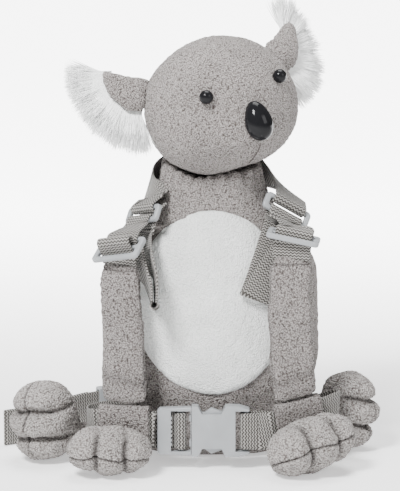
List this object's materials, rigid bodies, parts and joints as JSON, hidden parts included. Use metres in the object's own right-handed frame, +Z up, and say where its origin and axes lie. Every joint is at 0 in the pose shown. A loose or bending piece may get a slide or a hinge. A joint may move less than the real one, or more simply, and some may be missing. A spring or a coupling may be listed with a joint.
{
  "type": "toddler harness backpack",
  "caption": "Sitting plush koala backpack for a toddler: zipped pouch body, padded arm straps on adjustable webbing, buckled waist strap and a webbing tether.",
  "frame": {"origin": "the centre of the flat seat under the body, on the surface that the backpack sits on", "axes": "+Z up, the koala's chest and buckle face -Y, left and right as seen from the front (left is -X)"},
  "size_m": [0.2615, 0.1806, 0.3053],
  "materials": {
    "grey_plush": "nubby grey-taupe plush",
    "white_plush": "nubby white plush",
    "white_fur": "long soft white fur",
    "grey_webbing": "grey herringbone webbing",
    "zip_tape": "grey woven zip tape with nylon teeth",
    "pale_plastic": "pale grey moulded plastic",
    "black_plastic": "glossy black plastic"
  },
  "bodies": {
    "root": {"head": "grey_plush", "body": "grey_plush", "ear_left": "grey_plush", "ear_right": "grey_plush", "arm_left": "grey_plush", "arm_right": "grey_plush", "cuff_left": "grey_plush", "cuff_right": "grey_plush", "hand_left": "grey_plush", "hand_right": "grey_plush", "leg_left": "grey_plush", "leg_right": "grey_plush", "foot_left": "grey_plush", "foot_right": "grey_plush", "tummy_patch": "white_plush", "ear_fur_left": "white_fur", "ear_fur_right": "white_fur", "neck_strap_left": "grey_webbing", "neck_strap_right": "grey_webbing", "adjuster_strap_left": "grey_webbing", "adjuster_strap_right": "grey_webbing", "arm_tab_left": "grey_webbing", "arm_tab_right": "grey_webbing", "waist_strap_left": "grey_webbing", "waist_strap_right": "grey_webbing", "tether": "grey_webbing", "zip": "zip_tape", "strap_slider_left": "pale_plastic", "strap_slider_right": "pale_plastic", "ladder_lock_left": "pale_plastic", "ladder_lock_right": "pale_plastic", "buckle_prongs": "pale_plastic", "buckle_socket": "pale_plastic", "tether_keeper": "pale_plastic", "nose": "black_plastic", "eye_left": "black_plastic", "eye_right": "black_plastic"}
  },
  "joints": []
}
